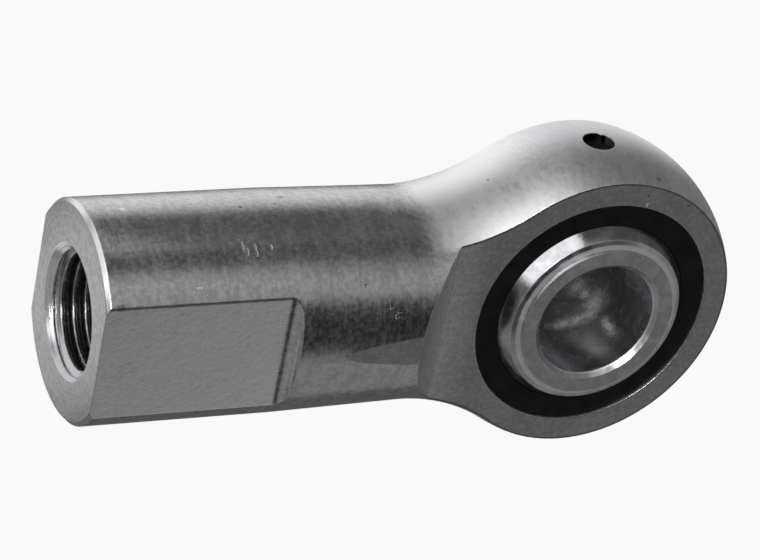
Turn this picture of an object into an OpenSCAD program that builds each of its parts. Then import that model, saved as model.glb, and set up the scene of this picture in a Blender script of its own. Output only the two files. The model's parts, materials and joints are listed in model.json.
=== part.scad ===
// Female rod end: a one-piece body with a threaded shank, a moulded race and a bored ball.
// The ball's centre is the origin. The shank runs along -X, the filling hole is on +Y
// and the ball's bore runs along Z. Millimetres.

/* [Shank] */
// Diameter of the shank at its threaded end
shank_d = 22.2; // [21:0.1:25]
// How far the shank's radius draws in at the waist, by the head
waist_drop = 0.3; // [0.1:0.05:0.8]
// From the ball's centre to the shank's end face
centre_to_end = 54; // [51:0.5:80]
// Bevel around the end face
end_bevel = 0.4; // [0.2:0.05:1]

/* [Wrench flats] */
// Across the two wrench flats
flats_across = 18.4; // [16:0.1:19.6]
// Length of the wrench flats from the end face
flats_len = 20; // [12:0.5:24]
// Radius left by the cutter in the inner corner of each flat
flats_corner_r = 1.2; // [0.5:0.1:2]

/* [Thread] */
// Major diameter of the internal thread
thread_d = 12.7; // [8:0.1:13]
// Depth of full thread, from the end face
thread_len = 28.5; // [18:0.5:29.5]
// Diameter of the tapping drill
tap_drill_d = 11.5; // [6:0.1:12.2]
// How far the tapping drill runs on past the full thread
drill_past = 2.5; // [1:0.1:3.5]
// Included angle of the drill's point
drill_point_angle = 118; // [90:1:140]
// Diameter of the countersink at the mouth
countersink_d = 13.5; // [13.3:0.1:15]

/* [Head] */
// Diameter of the spherical head
head_d = 33.2; // [32:0.1:40]
// Across the head's two milled faces
head_w = 12.7; // [10:0.1:14]
// Radius of the hollow blend from the head to the waist
neck_blend_r = 20; // [14:0.5:26]
// From the ball's centre to where the milled faces start to rise
face_reach = 16.5; // [15.8:0.1:18]
// Slope of the rise from the milled faces to the shank
rise_angle = 45; // [35:1:60]
// Length of the shallow flat that the cutter leaves on the shank
skim_len = 8; // [4:0.5:10]
// Depth of that shallow flat where the rise begins
skim_depth = 0.1; // [0.05:0.01:0.25]

/* [Eye and race] */
// Diameter of the eye, which the race fills
eye_d = 25.6; // [25.4:0.1:28]
// Width of the groove that locks the race in the eye
lock_groove_w = 3; // [1:0.1:5]
// Depth of the groove that locks the race in the eye
lock_groove_depth = 0.4; // [0.2:0.05:0.8]
// How far the race's two faces lie below the head's faces
race_recess = 0.3; // [0.05:0.05:0.8]
// Diameter of the filling hole
filling_hole_d = 3.3; // [1.5:0.1:5]
// How far the moulded plug ends below the head's crown
plug_recess = 0.9; // [0.4:0.1:2.5]

/* [Ball] */
// Diameter of the ball
ball_d = 23.8; // [23:0.1:24.4]
// Width of the ball across its two faces
ball_w = 15.9; // [15:0.1:17]
// Diameter of the ball's bore
bore_d = 12.7; // [8:0.1:13.4]
// Bevel at both mouths of the bore
bore_bevel = 0.5; // [0.2:0.05:0.8]
// Running clearance between the ball and the race, on the radius
ball_clearance = 0.05; // [0.02:0.01:0.09]
// Width of the turned rim between the ball's face and its sphere
rim_w = 0.5; // [0.2:0.05:0.8]
// How far each face stands above that rim
rim_step = 0.25; // [0.1:0.05:0.5]
// Slope of the rim towards the sphere
rim_slope = 20; // [5:1:30]

/* [Hidden] */
$fn = 96;

// Extra reach of a cutting shape past the surface that it cuts
past = 2;
// How far the head's sphere bites into its blend, so that the two cross in one clean edge
blend_bite = 0.01;

shank_r = shank_d / 2;
waist_r = shank_r - waist_drop;
head_r = head_d / 2;
end_x = -centre_to_end;
flat_z = flats_across / 2;
flats_end_x = end_x + flats_len;
face_z = head_w / 2;
eye_r = eye_d / 2;
ball_r = ball_d / 2;
race_sphere_r = ball_r + ball_clearance;
race_z = face_z - race_recess;

// The blend meets the waist at blend_foot and the sphere at blend_top.
blend_centre_r = waist_r + neck_blend_r;
centre_distance = head_r + neck_blend_r - blend_bite;
blend_foot_x = -sqrt(pow(centre_distance, 2) - pow(blend_centre_r, 2));
blend_top_x = blend_foot_x * head_r / centre_distance;

// The shank's radius between the flats and the waist
taper = waist_drop / (blend_foot_x - flats_end_x);
function shank_r_at(x) = waist_r + taper * max(0, blend_foot_x - x);

// The milled face rises along a slope, and its cutter skims the shank beyond it.
rise_run = (waist_r - skim_depth - face_z) / tan(rise_angle);
rise_top_x = -face_reach - rise_run;
rise_top_z = waist_r - skim_depth;
skim_tip_x = rise_top_x - skim_len;
skim_slope = (shank_r_at(skim_tip_x) - rise_top_z) / skim_len;

// The body before milling and drilling, turned about the shank's axis
module body_profile() {
    polygon([
        [0, end_x],
        [shank_r - end_bevel, end_x],
        [shank_r, end_x + end_bevel],
        [shank_r, flats_end_x],
        [waist_r, blend_foot_x],
        [0, blend_foot_x]
    ]);
    difference() {
        translate([0, blend_foot_x])
            square([blend_centre_r, blend_top_x - blend_foot_x]);
        translate([blend_centre_r, blend_foot_x])
            circle(r = neck_blend_r);
    }
    intersection() {
        circle(r = head_r);
        translate([0, -head_r - past])
            square([head_r + past, 2 * (head_r + past)]);
    }
}

// Everything that is milled away above one face of the head, seen from the side
module face_cut_profile() {
    polygon([
        [head_r + past, face_z],
        [-face_reach, face_z],
        [rise_top_x, rise_top_z],
        [skim_tip_x - past, rise_top_z + skim_slope * (skim_len + past)],
        [skim_tip_x - past, head_r + past],
        [head_r + past, head_r + past]
    ]);
}

// Everything that is milled away above one wrench flat, with the cutter's corner radius
module flat_cut_profile() {
    corner_x = flats_end_x - flats_corner_r;
    corner_z = flat_z + flats_corner_r;
    translate([end_x - past, flat_z])
        square([corner_x - end_x + past, head_r - flat_z]);
    translate([end_x - past, corner_z])
        square([flats_end_x - end_x + past, head_r - corner_z]);
    translate([corner_x, corner_z])
        circle(r = flats_corner_r);
}

// A side profile, drawn in X and Z, cut right across the body above and below it
module mill_both_sides() {
    for (side = [0, 1])
        mirror([0, 0, side])
            rotate([90, 0, 0])
                linear_extrude(height = 2 * (head_r + past), center = true)
                    children();
}

// The tapped hole: countersink, full thread, tapping drill and drill point
module thread_hole() {
    mouth_r = countersink_d / 2;
    thread_r = thread_d / 2;
    drill_r = tap_drill_d / 2;
    drill_end = end_x + thread_len + drill_past;
    rotate([0, 90, 0])
        rotate_extrude()
            polygon([
                [0, end_x - past],
                [mouth_r + past, end_x - past],
                [thread_r, end_x + mouth_r - thread_r],
                [thread_r, end_x + thread_len],
                [drill_r, end_x + thread_len],
                [drill_r, drill_end],
                [0, drill_end + drill_r / tan(drill_point_angle / 2)]
            ]);
}

// The eye with its locking groove, which the moulded race fills from wall to wall
module eye_form(half_height) {
    cylinder(r = eye_r, h = 2 * half_height, center = true);
    cylinder(r = eye_r + lock_groove_depth, h = lock_groove_w, center = true);
}

module filling_hole(length) {
    rotate([-90, 0, 0])
        cylinder(d = filling_hole_d, h = length);
}

module rod_body() {
    color([0.56, 0.56, 0.57])
        difference() {
            rotate([0, 90, 0])
                rotate_extrude()
                    body_profile();
            mill_both_sides() face_cut_profile();
            mill_both_sides() flat_cut_profile();
            thread_hole();
            eye_form(face_z + past);
            filling_hole(head_r + past);
        }
}

module race() {
    color([0.06, 0.06, 0.065])
        difference() {
            union() {
                eye_form(race_z);
                filling_hole(head_r - plug_recess);
            }
            sphere(r = race_sphere_r);
        }
}

// Half the ball's section, turned about the bore: sphere, rim, face, bevel and bore
module ball_profile() {
    bore_r = bore_d / 2;
    face_height = ball_w / 2;
    rim_height = face_height - rim_step;
    face_r = sqrt(pow(ball_r, 2) - pow(face_height, 2)) - rim_w;
    reach = ball_r + past;
    rim_drop = (reach - face_r) * tan(rim_slope);
    intersection() {
        circle(r = ball_r);
        polygon([
            [bore_r, -face_height + bore_bevel],
            [bore_r + bore_bevel, -face_height],
            [face_r, -face_height],
            [face_r, -rim_height],
            [reach, -rim_height + rim_drop],
            [reach, rim_height - rim_drop],
            [face_r, rim_height],
            [face_r, face_height],
            [bore_r + bore_bevel, face_height],
            [bore_r, face_height - bore_bevel]
        ]);
    }
}

module ball() {
    color([0.72, 0.72, 0.74])
        rotate_extrude()
            ball_profile();
}

rod_body();
race();
ball();
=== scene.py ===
import json
import math

import bmesh
import bpy
from bpy.props import FloatProperty, FloatVectorProperty, IntProperty, PointerProperty
from mathutils import Matrix, Vector


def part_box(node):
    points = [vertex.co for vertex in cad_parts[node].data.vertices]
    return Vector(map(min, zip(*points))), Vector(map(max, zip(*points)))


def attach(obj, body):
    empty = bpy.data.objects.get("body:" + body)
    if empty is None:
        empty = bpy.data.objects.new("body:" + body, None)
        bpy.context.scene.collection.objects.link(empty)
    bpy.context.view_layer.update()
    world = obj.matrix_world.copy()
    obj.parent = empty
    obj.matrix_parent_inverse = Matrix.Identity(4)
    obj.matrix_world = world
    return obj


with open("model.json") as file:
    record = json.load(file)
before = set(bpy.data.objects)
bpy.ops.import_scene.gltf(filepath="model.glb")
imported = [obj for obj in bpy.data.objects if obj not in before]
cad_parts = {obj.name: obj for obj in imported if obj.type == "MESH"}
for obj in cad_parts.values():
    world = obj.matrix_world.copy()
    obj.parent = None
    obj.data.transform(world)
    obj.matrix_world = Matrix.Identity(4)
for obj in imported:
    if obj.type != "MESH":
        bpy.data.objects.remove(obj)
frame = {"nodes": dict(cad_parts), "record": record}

bl_info = {
    "name": "Female Rod End",
    "version": (1, 0, 0),
    "blender": (4, 5, 0),
    "location": "3D View > Sidebar > Rod End",
    "description": "Dresses the packed rod end: thread, steel and polymer finishes, and a small studio",
    "category": "Object",
}

# Shapes are in metres. Materials, their marks and the outline below are in millimetres.
MM = 0.001

# The threaded hole's mount gives the size and place of the ridge.
THREAD_MOUNT = next(m for m in frame["record"]["mounts"] if m["name"] == "shank_thread")
THREAD_RADIUS = THREAD_MOUNT["dims"]["r_mm"] * MM
THREAD_MOUTH_X = THREAD_MOUNT["pos_m"][0]
THREAD_LENGTH = THREAD_MOUNT["dims"]["length_mm"] * MM
SLOT_COLOURS = {m["slot"]: m["base_color"] for m in frame["record"]["materials"]}
FLOOR_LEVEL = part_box("rod_body")[0].z

# The turned body's outline: its end, its shank, its head and the hollow blend between the two
END_X = -54.0
SHANK_RADIUS = 11.1
HEAD_RADIUS = 16.6
BLEND_CENTRE_X = -19.75
BLEND_CENTRE_RADIUS = 30.8
BLEND_RADIUS = 20.0
BLEND_TOP_X = -8.96

# Each lamp's name, direction from the part, width and height in metres, and power in watts
LAMPS = [
    ("key", (-0.41, 0.51, 0.76), 0.30, 0.30, 4.2),
    ("window", (-0.60, 0.75, 0.27), 1.30, 0.55, 3.2),
    ("back", (0.20, 0.85, 0.49), 0.40, 0.30, 0.06),
]

# Marks on the body: where each one is, and half its size along X, Y and Z
PALE_NICKS = [
    ((-39.50, 9.80, 5.20), (0.22, 0.6, 0.6)),
    ((-39.15, 9.50, 5.75), (0.28, 0.5, 0.5)),
    ((-38.25, 9.70, 5.40), (0.20, 0.5, 0.5)),
    ((-38.20, 9.40, 5.90), (0.18, 0.5, 0.5)),
    ((-36.56, 9.66, 5.45), (0.18, 0.4, 0.4)),
    ((-49.90, 11.08, -0.59), (0.35, 0.4, 0.4)),
    ((-23.99, 3.92, 10.16), (0.30, 0.3, 0.3)),
    ((-24.70, 4.75, 9.80), (0.18, 0.2, 0.3)),
    ((3.32, 12.71, 6.35), (0.22, 0.3, 0.3)),
    ((-41.50, 2.10, -9.80), (0.5, 0.4, 0.4)),
    ((-13.00, -12.10, 3.20), (0.4, 0.5, 0.4)),
    ((-44.64, 7.39, 8.28), (0.5, 0.2, 0.3)),
]
DARK_SPOTS = [
    ((-38.05, 11.09, 0.32), (0.26, 0.3, 0.25)),
    ((-33.15, 11.00, -1.29), (0.50, 0.3, 0.22)),
    ((-34.40, 11.00, 0.10), (0.22, 0.2, 0.2)),
    ((-27.33, 6.72, 8.64), (0.20, 0.2, 0.2)),
    ((-23.70, 4.40, 10.00), (0.35, 0.25, 0.3)),
    ((-24.60, 4.90, 9.75), (0.25, 0.2, 0.3)),
    ((4.63, 15.03, 5.28), (0.30, 0.3, 0.3)),
    ((8.11, 12.44, 6.35), (0.30, 0.2, 0.3)),
    ((3.16, 13.86, 6.35), (0.25, 0.18, 0.3)),
    ((-54.00, -8.68, 2.56), (0.3, 0.25, 0.2)),
    ((-11.53, 12.57, -0.06), (0.18, 0.2, 0.2)),
    ((-52.60, 6.25, 9.20), (0.6, 0.3, 0.3)),
    ((-29.00, -8.10, 7.10), (0.35, 0.3, 0.3)),
]

# Painted reflections on the bore's wall, as pale patches given in the same way
PAINTED_REFLECTION_STREAKS = [
    ((4.77, -4.18, -5.00), (2.4, 2.4, 2.0)),
    ((4.90, -4.00, -1.30), (3.2, 3.2, 3.0)),
    ((4.20, -4.75, -0.60), (2.8, 2.8, 2.0)),
    ((4.72, -4.24, 2.60), (1.2, 1.2, 3.4)),
    ((4.80, -4.10, -3.40), (1.4, 1.4, 2.6)),
    ((1.50, -6.17, -1.00), (3.2, 1.9, 1.5)),
    ((3.00, -5.60, -0.80), (2.8, 2.4, 1.6)),
]

# How much paler (above 0) or darker (below 0) each of these surfaces of the body is painted
# The wrench flat is paler partly for its milled finish and partly as painted light. The crown's sides carry
# painted highlights; the head face, rise, skim and filling hole's wall carry painted shade.
FINISH_AND_PAINTED_LIGHT_GAINS = {
    "painted_highlight_neck_side": 1.0, "painted_highlight_nose_side": 1.0, "wrench_flat": 0.85,
    "painted_shade_head_face": -0.3, "rise": -0.3, "skim": -0.35, "filling_hole": -0.85,
}


def length_prop(name, text, default):
    return FloatProperty(name=name, description=text, default=default, unit="LENGTH", precision=5)


def share_prop(name, text, default):
    return FloatProperty(name=name, description=text, default=default, min=0, max=1, subtype="FACTOR")


def colour_prop(name, text, default):
    return FloatVectorProperty(
        name=name, description=text, default=default, min=0, max=1, size=3, subtype="COLOR"
    )


def angle_prop(name, text, degrees):
    return FloatProperty(name=name, description=text, default=math.radians(degrees), subtype="ANGLE")


class RodEndThread(bpy.types.PropertyGroup):
    """Sizes of the ridge of the internal thread."""

    pitch: length_prop("Pitch", "Distance from one turn to the next", 1.27 * MM)
    major_radius: length_prop("Major radius", "Radius of the wall the ridge stands on", THREAD_RADIUS)
    crest_radius: length_prop("Crest radius", "Radius at the top of the ridge", 5.76 * MM)
    crest_width: length_prop("Crest width", "Width of the flat top of the ridge", 0.3 * MM)
    root_width: length_prop("Root width", "Width of the ridge at the wall", 1.1 * MM)
    mouth_radius: length_prop("Mouth radius", "Radius of the countersink at the end face", 6.75 * MM)
    steps: IntProperty(name="Steps", description="Straight pieces in one turn", default=72, min=12)


class RodEndFinish(bpy.types.PropertyGroup):
    """Colours and roughness of the three materials."""

    steel: colour_prop("Steel", "Colour of the body's satin steel", SLOT_COLOURS["body_steel"])
    steel_roughness: share_prop("Steel roughness", "How satin the body is", 0.22)
    polymer: colour_prop("Polymer", "Colour of the race", SLOT_COLOURS["race_polymer"])
    polymer_roughness: share_prop("Polymer roughness", "How dull the race is", 0.5)
    ball: colour_prop("Ball", "Colour of the ball", SLOT_COLOURS["ball_steel"])
    ball_roughness: share_prop("Ball roughness", "How soft the ball's reflections are", 0.14)
    edge_radius: length_prop("Edge radius", "Rounding that shows on sharp edges", 0.2 * MM)


class RodEndStage(bpy.types.PropertyGroup):
    """Floor, lamps and camera."""

    floor_size: length_prop("Floor size", "Side of the square floor", 4.0)
    floor_colour: colour_prop("Floor colour", "Colour of the floor below its white", (0.22, 0.22, 0.22))
    azimuth: angle_prop("Azimuth", "Camera's heading round the vertical", -140.737)
    elevation: angle_prop("Elevation", "Camera's height above the horizon", 49.085)
    roll: angle_prop("Roll", "Turn of the camera about its line of sight", 144.744)
    distance: length_prop("Distance", "From the aim point to the camera", 0.35559)
    lens: FloatProperty(name="Lens", description="Focal length in millimetres", default=167.82)
    aim: FloatVectorProperty(
        name="Aim", description="Point in the middle of the picture", size=3,
        default=(-0.020504, 0.000628, -0.001247), subtype="TRANSLATION",
    )
    white_share: share_prop("White share", "How far the floor shows plain white", 0.94)
    room_level: FloatProperty(
        name="Room level", description="Strength of the walls' even light", default=0.36, min=0
    )
    lamp_distance: length_prop("Lamp distance", "From the part to each lamp", 1.0)


# Node trees


class Tree:
    """Adds nodes to one node tree and joins their sockets."""

    def __init__(self, tree):
        self.tree = tree

    def join(self, socket, value):
        """Links a socket to the value, or sets it where the value is a plain one."""
        if isinstance(value, bpy.types.NodeSocket):
            self.tree.links.new(value, socket)
        else:
            socket.default_value = value

    def add(self, kind, inputs=None, **settings):
        node = self.tree.nodes.new(kind)
        for key, value in settings.items():
            setattr(node, key, value)
        for key, value in (inputs or {}).items():
            self.join(node.inputs[key], value)
        return node

    def feed(self, node, **inputs):
        """Sets or joins a node's sockets. Spaces in socket names are written as underscores."""
        for key, value in inputs.items():
            self.join(node.inputs[key.replace("_", " ")], value)

    def math(self, operation, *values):
        return self.add("ShaderNodeMath", dict(enumerate(values)), operation=operation).outputs[0]

    def all_of(self, mask, *others):
        for other in others:
            mask = self.math("MULTIPLY", mask, other)
        return mask

    def any_of(self, mask, *others):
        for other in others:
            mask = self.math("MAXIMUM", mask, other)
        return mask

    def vector(self, operation, *values):
        node = self.add("ShaderNodeVectorMath", dict(enumerate(values)), operation=operation)
        return node.outputs["Value" if operation in {"LENGTH", "DOT_PRODUCT", "DISTANCE"} else "Vector"]

    def scaled(self, vector, factor):
        node = self.add("ShaderNodeVectorMath", {0: vector, "Scale": factor}, operation="SCALE")
        return node.outputs["Vector"]

    def hypot(self, a, b):
        return self.vector("LENGTH", self.add("ShaderNodeCombineXYZ", {0: a, 1: b}).outputs[0])

    def ramp(self, value, low, high, to_low=0.0, to_high=1.0):
        """A smooth step from to_low to to_high while the value goes from low to high."""
        inputs = {0: value, 1: low, 2: high, 3: to_low, 4: to_high}
        return self.add("ShaderNodeMapRange", inputs, interpolation_type="SMOOTHSTEP").outputs[0]

    def mix(self, factor, a, b):
        return self.add("ShaderNodeMix", {0: factor, 6: a, 7: b}, data_type="RGBA").outputs[2]

    def mix_value(self, factor, a, b):
        return self.add("ShaderNodeMix", {0: factor, 2: a, 3: b}, data_type="FLOAT").outputs[0]

    def cover(self, shade, mask, share, colour):
        """The shade with a colour laid over it where the mask is, as far as the share says."""
        return self.mix(self.math("MULTIPLY", mask, share), shade, rgba(colour))

    def noise(self, vector, scale, detail=2.0, roughness=0.5, distortion=0.0):
        inputs = {
            "Vector": vector, "Scale": scale, "Detail": detail,
            "Roughness": roughness, "Distortion": distortion,
        }
        return self.add("ShaderNodeTexNoise", inputs).outputs["Fac"]

    def bump(self, strength, height, **others):
        full_height = 0.02 * MM
        inputs = {"Strength": strength, "Distance": full_height, "Height": height, **others}
        return self.add("ShaderNodeBump", inputs).outputs[0]


def rgba(colour):
    return (*colour, 1.0)


def node_group(name, inputs, outputs):
    """A new shader node group, with its tree, its inputs by name and its output node."""
    group = bpy.data.node_groups.new(name, "ShaderNodeTree")
    for label, kind, default in inputs:
        socket = group.interface.new_socket(label, in_out="INPUT", socket_type=f"NodeSocket{kind}")
        if default is not None:
            socket.default_value = default
    for label, kind in outputs:
        group.interface.new_socket(label, in_out="OUTPUT", socket_type=f"NodeSocket{kind}")
    tree = Tree(group)
    source = tree.add("NodeGroupInput")
    return group, tree, source.outputs, tree.add("NodeGroupOutput")


def use(tree, group, **inputs):
    """Places a node group in a tree. Spaces in socket names are written as underscores."""
    node = tree.add("ShaderNodeGroup", node_tree=group)
    tree.feed(node, **inputs)
    return node.outputs


def places_group():
    """Where a point is, in millimetres, and how far it lies from the part's three axes."""
    axes = {"From Shank Axis": "X", "From Bore Axis": "Z", "From Filling Axis": "Y"}
    outputs = [("Place", "Vector"), *((label, "Float") for label in ("X", "Y", "Z", *axes))]
    group, tree, _, out = node_group("Places in mm", [], outputs)
    place = tree.scaled(tree.add("ShaderNodeTexCoord").outputs["Object"], 1 / MM)
    parts = tree.add("ShaderNodeSeparateXYZ", {0: place}).outputs
    tree.feed(out, Place=place, X=parts["X"], Y=parts["Y"], Z=parts["Z"])
    for label, axis in axes.items():
        off_axis = tree.vector("MULTIPLY", place, [float(name != axis) for name in "XYZ"])
        tree.join(out.inputs[label], tree.vector("LENGTH", off_axis))
    return group


def grain_group():
    """Fine tool marks: a noise that is stretched along the way the tool ran."""
    inputs = [("Place", "Vector", None), ("Lines Per mm", "Vector", (1, 1, 1)), ("Unevenness", "Float", 0.5)]
    group, tree, given, out = node_group("Tool grain", inputs, [("Height", "Float")])
    broad_scale = 0.21
    stretched = tree.vector("MULTIPLY", given["Place"], given["Lines Per mm"])
    fine = tree.noise(stretched, 1.0, 3.0, 0.6)
    broad = tree.noise(tree.scaled(stretched, broad_scale), 1.0, 2.0)
    tree.feed(out, Height=tree.mix_value(given["Unevenness"], fine, broad))
    return group


def rings_group():
    """Turning marks: fine rings round an axis, from the distance to it and the place."""
    inputs = [
        ("Place", "Vector", None), ("Radius", "Float", 1.0),
        ("Lines Per mm", "Float", 5.0), ("Wander", "Float", 0.15),
    ]
    group, tree, given, out = node_group("Turning rings", inputs, [("Height", "Float")])
    rings = tree.math("MULTIPLY", given["Radius"], given["Lines Per mm"])
    across = tree.add("ShaderNodeCombineXYZ", {0: rings}).outputs[0]
    ringed = tree.vector("ADD", tree.scaled(given["Place"], given["Wander"]), across)
    tree.feed(out, Height=tree.noise(ringed, 1.0, 3.0, 0.65))
    return group


def edges_group():
    """A mask of sharp edges, and the normal with those edges rounded."""
    outputs = [("Edge", "Float"), ("Normal", "Vector")]
    group, tree, given, out = node_group("Rounded edges", [("Radius", "Float", 0.0001)], outputs)
    rounded = tree.add("ShaderNodeBevel", {"Radius": given["Radius"]}, samples=6).outputs[0]
    plain = tree.add("ShaderNodeNewGeometry").outputs["Normal"]
    agreement = tree.vector("DOT_PRODUCT", rounded, plain)
    tree.feed(out, Edge=tree.ramp(agreement, 0.97, 0.8), Normal=rounded)
    return group


def specks_group():
    """Small scattered pits. Size is in cells, and Share is how many of the cells hold one."""
    inputs = [
        ("Place", "Vector", None), ("Cells Per mm", "Float", 1.0),
        ("Size", "Float", 0.1), ("Share", "Float", 0.3),
    ]
    group, tree, given, out = node_group("Scattered specks", inputs, [("Mask", "Float")])
    raggedness, usual_shift = 0.12, 0.05
    cells = tree.add("ShaderNodeTexVoronoi", {"Vector": given["Place"], "Scale": given["Cells Per mm"]})
    bent = tree.noise(given["Place"], 6.0, 2.0)
    ragged = tree.math("MULTIPLY_ADD", bent, raggedness, cells.outputs["Distance"])
    near = tree.math("LESS_THAN", ragged, tree.math("ADD", given["Size"], usual_shift))
    draw = tree.add("ShaderNodeSeparateColor", {0: cells.outputs["Color"]}).outputs[0]
    tree.feed(out, Mask=tree.all_of(near, tree.math("LESS_THAN", draw, given["Share"])))
    return group


def nick_group():
    """One mark at one place, fading out to a ragged rim. A lower Solid makes it softer."""
    inputs = [
        ("Place", "Vector", None), ("Centre", "Vector", (0, 0, 0)),
        ("Half Size", "Vector", (1, 1, 1)), ("Solid", "Float", 1.1),
    ]
    group, tree, given, out = node_group("One nick", inputs, [("Mask", "Float")])
    raggedness, rim = 1.1, 1.6
    off = tree.vector("DIVIDE", tree.vector("SUBTRACT", given["Place"], given["Centre"]), given["Half Size"])
    bent = tree.noise(given["Place"], 5.0, 3.0)
    ragged = tree.math("MULTIPLY_ADD", bent, raggedness, tree.vector("LENGTH", off))
    tree.feed(out, Mask=tree.ramp(ragged, rim, given["Solid"]))
    return group


def shared_groups():
    """The node groups that the materials share, made once."""
    makers = {
        "places": ("Places in mm", places_group), "grain": ("Tool grain", grain_group),
        "rings": ("Turning rings", rings_group), "edges": ("Rounded edges", edges_group),
        "specks": ("Scattered specks", specks_group), "nick": ("One nick", nick_group),
    }
    return {key: bpy.data.node_groups.get(name) or make() for key, (name, make) in makers.items()}


# Materials


def new_material(name, colour):
    """A material with only its shader and output, and a plain viewport colour."""
    material = bpy.data.materials.new(name)
    material.use_nodes = True
    material.diffuse_color = rgba(colour)
    return material, Tree(material.node_tree), material.node_tree.nodes["Principled BSDF"]


def sees_white(tree, in_mirrors):
    """1 for the camera, and the given share for rays that come off metal or through glass."""
    path = tree.add("ShaderNodeLightPath").outputs
    mirrored = tree.any_of(path["Is Glossy Ray"], path["Is Transmission Ray"])
    return tree.any_of(path["Is Camera Ray"], tree.math("MULTIPLY", mirrored, in_mirrors))


def marks(tree, groups, place, spots, solid=1.1):
    """A mask of several marks, each at its own place."""
    return tree.any_of(*(
        use(tree, groups["nick"], Place=place, Centre=centre, Half_Size=half_size, Solid=solid)["Mask"]
        for centre, half_size in spots
    ))


def below_turned_skin(tree, at):
    """How deep a point of the head lies below its turned outline, the sphere or the hollow blend."""
    crossfade = 0.1
    below_sphere = tree.math("SUBTRACT", HEAD_RADIUS, tree.vector("LENGTH", at["Place"]))
    along = tree.math("SUBTRACT", at["X"], BLEND_CENTRE_X)
    across = tree.math("SUBTRACT", BLEND_CENTRE_RADIUS, at["From Shank Axis"])
    below_blend = tree.math("SUBTRACT", tree.hypot(along, across), BLEND_RADIUS)
    by_sphere = tree.ramp(at["X"], BLEND_TOP_X - crossfade, BLEND_TOP_X + crossfade)
    return tree.mix_value(by_sphere, below_blend, below_sphere)


def body_masks(tree, at):
    """A mask for each of the body's surfaces, from where a point is and which way it faces."""
    # A ramp's first two numbers are where its mask starts to change and where it stops.
    x, y, radius = at["X"], at["Y"], at["From Shank Axis"]
    normal = tree.add("ShaderNodeTexCoord").outputs["Normal"]
    facing = tree.add("ShaderNodeSeparateXYZ", {0: normal}).outputs
    upright = tree.math("ABSOLUTE", facing["Z"])
    unturned = tree.ramp(tree.math("ABSOLUTE", facing["Y"]), 0.05, 0.02)
    milled = tree.all_of(tree.ramp(upright, 0.975, 0.995), unturned)
    wrench_flat = tree.all_of(milled, tree.ramp(x, -34.6, -35.0))
    head_face = tree.all_of(milled, tree.ramp(x, -18.0, -17.0))
    rise = tree.all_of(tree.ramp(facing["X"], -0.6, -0.68), tree.ramp(x, -21.8, -21.4))
    crown = tree.all_of(tree.ramp(upright, 0.66, 0.56), tree.ramp(x, -21.0, -17.5))
    in_thread = tree.all_of(tree.ramp(radius, 6.5, 6.3), tree.ramp(x, -52.9, -52.6))
    # Painted shade: dark lines along the head face's edge with the turned skin and along the wrench flat's
    # upper edge
    face_edge_shade = tree.all_of(head_face, tree.ramp(below_turned_skin(tree, at), 0.26, 0.12))
    flat_edge_shade = tree.all_of(wrench_flat, tree.ramp(radius, 10.9, 11.0), tree.ramp(y, -1.0, 1.0))
    return {
        "milled": milled,
        "end_face": tree.ramp(facing["X"], -0.97, -0.99),
        "wrench_flat": wrench_flat,
        # Painted shade on the head face, all but its strip towards the shank
        "painted_shade_head_face": tree.all_of(head_face, tree.ramp(x, -16.0, -12.0)),
        # Painted shade on the skim and the rise, through their gains
        "skim": tree.all_of(milled, tree.ramp(x, -29.5, -28.5), tree.ramp(x, -20.2, -20.7)),
        "rise": tree.all_of(rise, tree.ramp(upright, 0.6, 0.68)),
        "crown": crown,
        # Painted highlights over the crown, strongest towards the neck and rising again towards the nose
        "painted_highlight_neck_side": tree.all_of(crown, tree.ramp(x, -10.0, -2.0, 0.8, 0.3)),
        "painted_highlight_nose_side": tree.all_of(crown, tree.ramp(x, 2.0, 9.0, 0.0, 0.4)),
        # Painted shade on the filling hole's wall
        "filling_hole": tree.all_of(tree.ramp(at["From Filling Axis"], 1.72, 1.67), tree.ramp(y, 12.0, 12.4)),
        "mouth": tree.all_of(tree.ramp(radius, 6.82, 6.74), tree.ramp(x, -52.7, -52.9)),
        "end_bevel": tree.all_of(tree.ramp(radius, 10.68, 10.76), tree.ramp(x, -53.5, -53.65)),
        "thread": tree.all_of(in_thread, tree.ramp(x, -20.0, -21.0)),
        "painted_dark_edges": tree.any_of(face_edge_shade, flat_edge_shade),
    }


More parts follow.
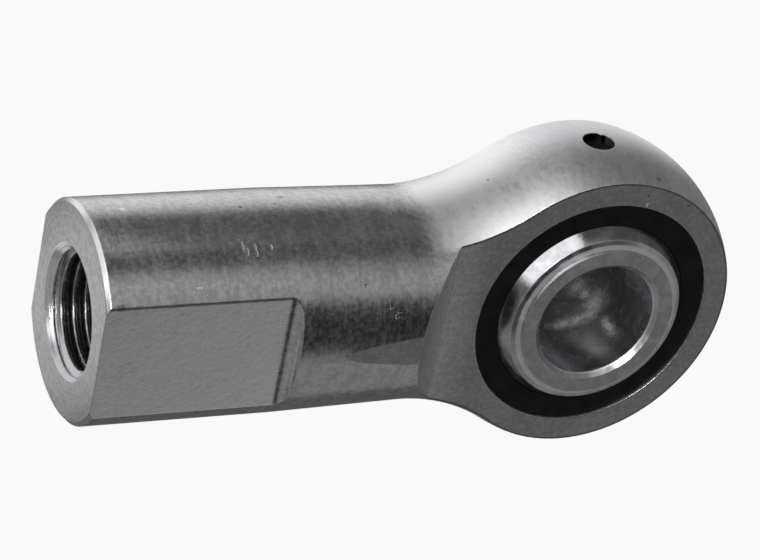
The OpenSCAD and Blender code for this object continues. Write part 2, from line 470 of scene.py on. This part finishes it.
def satin_steel(finish, groups):
    """The body's steel: turned round the shank and head, milled on the flats, with wear at its edges, painted
    highlights and painted shade.
    """
    material, tree, shader = new_material("satin_steel", finish.steel)
    at = use(tree, groups["places"])
    place, radius = at["Place"], at["From Shank Axis"]
    on = body_masks(tree, at)
    edges = use(tree, groups["edges"], Radius=finish.edge_radius)

    turned = use(tree, groups["grain"], Place=place, Lines_Per_mm=(2.6, 0.6, 0.6), Unevenness=0.4)["Height"]
    cut = use(tree, groups["grain"], Place=place, Lines_Per_mm=(1.8, 2.4, 2.0), Unevenness=0.4)["Height"]
    rings = use(tree, groups["rings"], Place=place, Radius=radius, Lines_Per_mm=4)["Height"]
    grain = tree.mix_value(on["end_face"], tree.mix_value(on["milled"], turned, cut), rings)

    grain_share, cloud_share = 0.35, 0.12
    mottle = tree.noise(place, 1.9, 5.0, 0.75)
    cloud = tree.noise(place, 0.17, 3.0, 0.6, 0.4)
    uneven = tree.mix_value(cloud_share, tree.mix_value(grain_share, mottle, grain), cloud)
    pits = use(tree, groups["specks"], Place=place, Cells_Per_mm=0.6, Size=0.05, Share=0.12)["Mask"]
    pale = marks(tree, groups, place, PALE_NICKS)
    dark = tree.any_of(tree.math("MULTIPLY", pits, 0.6), marks(tree, groups, place, DARK_SPOTS))
    # Edge wear, and a painted highlight on the countersink and the end bevel
    wear_and_painted_highlight = tree.any_of(on["mouth"], on["end_bevel"], tree.math("MULTIPLY", edges["Edge"], 0.25))
    # Painted shade inside the tapped hole, darker at the thread's roots than at its crests
    painted_thread_shade = tree.math("MULTIPLY", on["thread"], tree.ramp(radius, 5.8, 6.0, 0.25, 0.85))

    steel = Vector(finish.steel)
    shade = tree.mix(tree.ramp(uneven, 0.41, 0.59), rgba(steel * 1.08), rgba(steel * 1.58))
    # The crown is paler partly for its finish and partly as a painted highlight
    shade = tree.cover(shade, on["crown"], 0.6, steel * 1.36)
    # Gains of the surfaces: the wrench flat's partly finish and partly painted light, the rest painted
    # highlights and painted shade
    gain = 1.0
    for surface, more in FINISH_AND_PAINTED_LIGHT_GAINS.items():
        gain = tree.math("MULTIPLY_ADD", on[surface], more, gain)
    shade = tree.scaled(shade, gain)
    layers = [
        (wear_and_painted_highlight, 0.9, 2.15), (on["painted_dark_edges"], 0.75, 0.25), (painted_thread_shade, 1.0, 0.35), (pale, 0.8, 2.1), (dark, 0.6, 0.4)
    ]
    for mask, share, brightness in layers:
        shade = tree.cover(shade, mask, share, steel * brightness)

    dent_depth = 1.2
    height = tree.math("SUBTRACT", grain, tree.math("MULTIPLY", tree.any_of(dark, pale), dent_depth))
    low = finish.steel_roughness
    rough = tree.ramp(uneven, 0.3, 0.7, low - 0.05, low + 0.08)
    rough = tree.math("MULTIPLY_ADD", on["crown"], 0.21, rough)
    bump = tree.bump(0.8, height, Normal=edges["Normal"])
    tree.feed(shader, Base_Color=shade, Metallic=1.0, Roughness=rough, Normal=bump)
    return material


def black_polymer(finish, groups):
    """The race: moulded black polymer, a little greasy and dusty."""
    material, tree, shader = new_material("black_polymer", finish.polymer)
    at = use(tree, groups["places"])
    place = at["Place"]
    skin = tree.noise(place, 5.0, 3.0, 0.6)
    film = tree.noise(place, 0.5, 3.0, 0.6, 0.5)
    rings = use(tree, groups["rings"], Place=place, Radius=at["From Bore Axis"], Lines_Per_mm=2)["Height"]
    dust = use(tree, groups["specks"], Place=place, Cells_Per_mm=1.1, Size=0.05, Share=0.1)["Mask"]
    dust_colour = (0.05, 0.05, 0.048)
    polymer = Vector(finish.polymer)
    shade = tree.mix(tree.ramp(film, 0.35, 0.7), rgba(polymer * 0.2), rgba(polymer * 0.4))
    shade = tree.cover(shade, dust, 0.4, dust_colour)
    bump = tree.bump(0.5, tree.math("ADD", skin, tree.math("MULTIPLY", rings, 0.6)))
    low = finish.polymer_roughness
    rough = tree.ramp(film, 0.3, 0.7, low - 0.08, low + 0.12)
    tree.feed(shader, Base_Color=shade, Metallic=0.0, Roughness=rough, Specular_IOR_Level=0.12, Normal=bump)
    return material


def polished_steel(finish, groups):
    """The ball: a ground sphere with turned faces, a painted highlight on their rims and painted reflections
    in its bore.
    """
    material, tree, shader = new_material("polished_steel", finish.ball)
    at = use(tree, groups["places"])
    place, radius = at["Place"], at["From Bore Axis"]
    faces = tree.ramp(tree.math("ABSOLUTE", at["Z"]), 7.2, 7.35)
    # Painted highlight on the rims of the ball's faces
    painted_rim_highlight = tree.all_of(faces, tree.ramp(radius, 8.4, 8.5), tree.ramp(radius, 9.0, 8.85))
    bore = tree.ramp(radius, 6.5, 6.4)
    rings = use(tree, groups["rings"], Place=place, Radius=radius, Lines_Per_mm=5)["Height"]
    reamed = use(tree, groups["grain"], Place=place, Lines_Per_mm=(1.3, 1.3, 0.35), Unevenness=0.5)["Height"]
    scuffs = use(tree, groups["grain"], Place=place, Lines_Per_mm=(1.6, 1.6, 2.6), Unevenness=0.5)["Height"]
    grain = tree.mix_value(bore, tree.mix_value(faces, scuffs, rings), reamed)
    film = tree.noise(place, 0.6, 4.0, 0.65, 0.6)
    # Painted reflections on the bore's wall, also less metallic there
    painted_reflections = tree.all_of(marks(tree, groups, place, PAINTED_REFLECTION_STREAKS, solid=0.0), bore)
    edges = use(tree, groups["edges"], Radius=finish.edge_radius * 0.6)
    steel = Vector(finish.ball)
    shade = tree.mix(tree.ramp(film, 0.35, 0.68), rgba(steel * 0.7), rgba(steel))
    layers = [(edges["Edge"], 0.4, 1.3), (painted_rim_highlight, 0.7, 1.3), (bore, 0.6, 1.5), (painted_reflections, 0.9, 1.4)]
    for mask, share, brightness in layers:
        shade = tree.cover(shade, mask, share, steel * brightness)
    low = finish.ball_roughness
    rough = tree.ramp(film, 0.3, 0.7, low - 0.03, low + 0.08)
    for mask, more in ((faces, 0.16), (painted_rim_highlight, 0.2), (bore, 0.08)):
        rough = tree.math("MULTIPLY_ADD", mask, more, rough)
    metal = tree.ramp(painted_reflections, 0.0, 1.0, 1.0, 0.4)
    bump = tree.bump(0.5, grain, Normal=edges["Normal"])
    tree.feed(shader, Base_Color=shade, Metallic=metal, Roughness=rough, Normal=bump)
    return material


def body_material(finish):
    return bpy.data.materials.get("satin_steel") or satin_steel(finish, shared_groups())


def dress_node(name, material):
    """Gives a CAD node its detailed material."""
    node = frame["nodes"][name]
    if not node.material_slots:
        raise RuntimeError(f"{name} has no material slot")
    for slot in node.material_slots:
        slot.material = material


# Meshes


def finish_mesh(form, name, material, smooth_angle):
    """Turns a bmesh into an object at the origin, smooth except at edges sharper than the angle."""
    bmesh.ops.remove_doubles(form, verts=form.verts, dist=0.0005 * MM)
    bmesh.ops.recalc_face_normals(form, faces=form.faces)
    mesh = bpy.data.meshes.new(name)
    form.to_mesh(mesh)
    form.free()
    mesh.materials.append(material)
    mesh.shade_smooth()
    mesh.set_sharp_from_angle(angle=smooth_angle)
    piece = bpy.data.objects.new(name, mesh)
    bpy.context.scene.collection.objects.link(piece)
    return piece


def thread_section(form, thread, start_x):
    """The ridge's outline at the start of the thread, as a closed ring of edges in the XZ plane."""
    foot_in_wall = 0.06 * MM
    side_parts = 4
    half_root, half_crest = thread.root_width / 2, thread.crest_width / 2
    corners = [
        (-half_root, thread.major_radius),
        (-half_crest, thread.crest_radius),
        (half_crest, thread.crest_radius),
        (half_root, thread.major_radius),
    ]
    outline = [(-half_root, thread.major_radius + foot_in_wall)]
    for (x0, r0), (x1, r1) in zip(corners, corners[1:]):
        for part in range(side_parts):
            share = part / side_parts
            outline.append((x0 + (x1 - x0) * share, r0 + (r1 - r0) * share))
    outline += [corners[-1], (half_root, thread.major_radius + foot_in_wall)]
    ring = [form.verts.new((start_x + x, 0, radius)) for x, radius in outline]
    return ring + [form.edges.new(pair) for pair in zip(ring, ring[1:] + ring[:1])]


def keep_behind_mouth(form, thread):
    """Draws the first turns back behind the cone of the countersink and the end face."""
    behind = 0.02 * MM
    end_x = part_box("rod_body")[0].x
    for vert in form.verts:
        radius = math.hypot(vert.co.y, vert.co.z)
        vert.co.x = max(vert.co.x, end_x + behind)
        cone = thread.mouth_radius - (vert.co.x - end_x) + behind
        if radius < cone:
            vert.co.y *= cone / radius
            vert.co.z *= cone / radius


class ROD_END_OT_stage(bpy.types.Operator):
    """Make the floor, the lamps, the room's light and the camera"""

    bl_idname = "rod_end.stage"
    bl_label = "Stage"

    def execute(self, context):
        stage = context.scene.rod_end_stage
        self.make_camera(context, stage)
        self.make_floor(stage)
        self.make_room(context, stage)
        self.make_lamps(context, stage)
        return {"FINISHED"}

    def make_camera(self, context, stage):
        """The camera looks at its aim point from a heading and a height, turned about its own sight line."""
        level, heading = math.cos(stage.elevation), stage.azimuth
        right = Vector((math.cos(heading), math.sin(heading), 0))
        back = Vector((math.sin(heading) * level, -math.cos(heading) * level, math.sin(stage.elevation)))
        up = back.cross(right)
        turned_right = right * math.cos(stage.roll) + up * math.sin(stage.roll)
        turned_up = back.cross(turned_right)
        data = bpy.data.cameras.new("Camera")
        data.lens = stage.lens
        data.clip_start = 0.01
        data.clip_end = 20
        camera = bpy.data.objects.new("Camera", data)
        camera.location = Vector(stage.aim) + back * stage.distance
        camera.rotation_euler = Matrix((turned_right, turned_up, back)).transposed().to_euler()
        context.scene.collection.objects.link(camera)
        context.scene.camera = camera

    def make_floor(self, stage):
        """A floor that is nearly as white as paper to the camera, and keeps a faint shadow."""
        gap_below_part = 0.02 * MM
        form = bmesh.new()
        bmesh.ops.create_grid(form, x_segments=1, y_segments=1, size=stage.floor_size / 2)
        bmesh.ops.translate(form, verts=form.verts, vec=(0, 0, FLOOR_LEVEL - gap_below_part))
        material, tree, shader = new_material("pale_floor", stage.floor_colour)
        tree.feed(shader, Base_Color=rgba(stage.floor_colour), Roughness=0.9, Specular_IOR_Level=0.2)
        paper = tree.add("ShaderNodeEmission", {"Color": (1, 1, 1, 1), "Strength": 1.0})
        # To the camera the floor is evenly white; in metal its white is painted light and painted shadow by
        # place
        share = tree.math("MULTIPLY", sees_white(tree, self.painted_light_in_mirrors(tree)), stage.white_share)
        mixed = tree.add("ShaderNodeMixShader", {0: share, 1: shader.outputs[0], 2: paper.outputs[0]})
        tree.feed(material.node_tree.nodes["Material Output"], Surface=mixed.outputs[0])
        floor = finish_mesh(form, "floor", material, math.pi)

    def painted_light_in_mirrors(self, tree):
        """How white the floor glows in metal, painted by place: painted light beside the part's lit side,
        before the end face and past a border line; elsewhere, and as painted shadow round the rest of the
        part, only the floor's own colour shows.
        """
        before_end_face = (-63.0, -6.0, FLOOR_LEVEL / MM)
        on_border = (-50.0, 24.5, 0.0)
        across_border = (-0.94, 0.342, 0.0)
        at = use(tree, shared_groups()["places"])
        from_middle = tree.math("ABSOLUTE", tree.math("SUBTRACT", at["X"], END_X / 2))
        past_end = tree.any_of(tree.math("SUBTRACT", from_middle, -END_X / 2), 0.0)
        off_shank = tree.math("SUBTRACT", tree.hypot(past_end, at["Y"]), SHANK_RADIUS)
        off_head = tree.math("SUBTRACT", at["From Bore Axis"], HEAD_RADIUS)
        off_part = tree.math("MINIMUM", off_shank, off_head)
        beside = tree.all_of(tree.ramp(off_part, 14.0, 2.0), tree.ramp(at["Y"], 7.0, 12.0))
        from_spot = tree.vector("DISTANCE", at["Place"], before_end_face)
        before_end = tree.ramp(from_spot, 22.0, 6.0, 0.0, 0.58)
        from_border = tree.vector("SUBTRACT", at["Place"], on_border)
        past_border = tree.ramp(tree.vector("DOT_PRODUCT", from_border, across_border), -3.0, 3.0)
        painted_lit_side = tree.all_of(past_border, tree.ramp(at["Y"], 14.0, 26.0, 0.0, 0.85))
        return tree.any_of(beside, before_end, painted_lit_side)

    def make_room(self, context, stage):
        """A room with grey walls and a dark ceiling, white where the camera looks past the floor."""
        world = bpy.data.worlds.new("Room")
        world.use_nodes = True
        tree = Tree(world.node_tree)
        white_in_mirrors = 0.02
        other_walls = 0.7
        direction = tree.add("ShaderNodeTexCoord").outputs["Generated"]
        way = tree.add("ShaderNodeSeparateXYZ", {0: direction}).outputs
        lit_wall = tree.ramp(way["Z"], 0.2, 0.68, 0.24, 1.15)
        walls = tree.mix_value(tree.ramp(way["Y"], -0.3, 0.1), other_walls, lit_wall)
        below_ceiling = tree.ramp(way["Z"], 0.76, 0.82, 1.0, 0.0)
        level = tree.math("MULTIPLY", tree.all_of(walls, below_ceiling), stage.room_level)
        room = world.node_tree.nodes["Background"]
        tree.feed(room, Color=(1, 1, 1, 1), Strength=level)
        white = tree.add("ShaderNodeBackground", {"Color": (1, 1, 1, 1), "Strength": 1.0})
        share = sees_white(tree, white_in_mirrors)
        mixed = tree.add("ShaderNodeMixShader", {0: share, 1: room.outputs[0], 2: white.outputs[0]})
        tree.feed(world.node_tree.nodes["World Output"], Surface=mixed.outputs[0])
        context.scene.world = world
        context.scene.view_settings.view_transform = "Standard"

    def make_lamps(self, context, stage):
        """Soft rectangular lamps, each aimed at the part's middle from its own direction."""
        middle = Vector((-0.018, 0, 0))
        for name, direction, width, height, power in LAMPS:
            data = bpy.data.lights.new(name, "AREA")
            data.shape = "RECTANGLE"
            data.size = width
            data.size_y = height
            data.energy = power
            lamp = bpy.data.objects.new(name, data)
            towards = Vector(direction).normalized()
            lamp.location = middle + towards * stage.lamp_distance
            lamp.rotation_euler = towards.to_track_quat("Z", "Y").to_euler()
            context.scene.collection.objects.link(lamp)


class ROD_END_OT_thread(bpy.types.Operator):
    """Make the ridge of the internal thread, from the countersink to the end of full thread"""

    bl_idname = "rod_end.thread"
    bl_label = "Thread"

    def execute(self, context):
        thread = context.scene.rod_end_thread
        finish = context.scene.rod_end_finish
        lead_in = 0.7 * MM
        run_out = 0.5 * MM
        start_x = THREAD_MOUTH_X - lead_in
        turns = math.ceil((THREAD_LENGTH + lead_in + run_out) / thread.pitch)
        form = bmesh.new()
        section = thread_section(form, thread, start_x)
        bmesh.ops.spin(
            form, geom=section, cent=(0, 0, 0), axis=(1, 0, 0),
            dvec=(thread.pitch / thread.steps, 0, 0), angle=math.tau, steps=thread.steps,
        )
        one_turn = [*form.verts, *form.edges, *form.faces]
        for turn in range(1, turns):
            copy = bmesh.ops.duplicate(form, geom=one_turn)["geom"]
            verts = [item for item in copy if isinstance(item, bmesh.types.BMVert)]
            bmesh.ops.translate(form, verts=verts, vec=(thread.pitch * turn, 0, 0))
        bmesh.ops.remove_doubles(form, verts=form.verts, dist=0.001 * MM)
        open_ends = [edge for edge in form.edges if edge.is_boundary]
        bmesh.ops.holes_fill(form, edges=open_ends)
        keep_behind_mouth(form, thread)
        ridge = finish_mesh(form, "thread_ridge", body_material(finish), math.radians(35))
        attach(ridge, "body")
        return {"FINISHED"}


class ROD_END_OT_body(bpy.types.Operator):
    """Give the rod body its turned and milled satin steel"""

    bl_idname = "rod_end.body"
    bl_label = "Body"

    def execute(self, context):
        dress_node("rod_body", body_material(context.scene.rod_end_finish))
        return {"FINISHED"}


class ROD_END_OT_race(bpy.types.Operator):
    """Give the race its moulded black polymer"""

    bl_idname = "rod_end.race"
    bl_label = "Race"

    def execute(self, context):
        dress_node("race", black_polymer(context.scene.rod_end_finish, shared_groups()))
        return {"FINISHED"}


class ROD_END_OT_ball(bpy.types.Operator):
    """Give the ball its polished steel"""

    bl_idname = "rod_end.ball"
    bl_label = "Ball"

    def execute(self, context):
        dress_node("ball", polished_steel(context.scene.rod_end_finish, shared_groups()))
        return {"FINISHED"}


class ROD_END_PT_sidebar(bpy.types.Panel):
    """Lists the steps that dress the rod end"""

    bl_label = "Rod End"
    bl_idname = "ROD_END_PT_sidebar"
    bl_space_type = "VIEW_3D"
    bl_region_type = "UI"
    bl_category = "Rod End"

    def draw(self, context):
        for step in STEPS:
            self.layout.operator(step.bl_idname)


STEPS = (ROD_END_OT_stage, ROD_END_OT_body, ROD_END_OT_thread, ROD_END_OT_race, ROD_END_OT_ball)
SETTINGS = {"rod_end_thread": RodEndThread, "rod_end_finish": RodEndFinish, "rod_end_stage": RodEndStage}
CLASSES = (*SETTINGS.values(), *STEPS, ROD_END_PT_sidebar)


def register():
    for item in CLASSES:
        bpy.utils.register_class(item)
    for name, group in SETTINGS.items():
        setattr(bpy.types.Scene, name, PointerProperty(type=group))


def unregister():
    for name in SETTINGS:
        delattr(bpy.types.Scene, name)
    for item in reversed(CLASSES):
        bpy.utils.unregister_class(item)


def main():
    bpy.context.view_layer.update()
    register()
    bpy.ops.rod_end.stage()
    bpy.ops.rod_end.body()
    bpy.ops.rod_end.thread()
    bpy.ops.rod_end.race()
    bpy.ops.rod_end.ball()


if __name__ == "__main__":
    main()
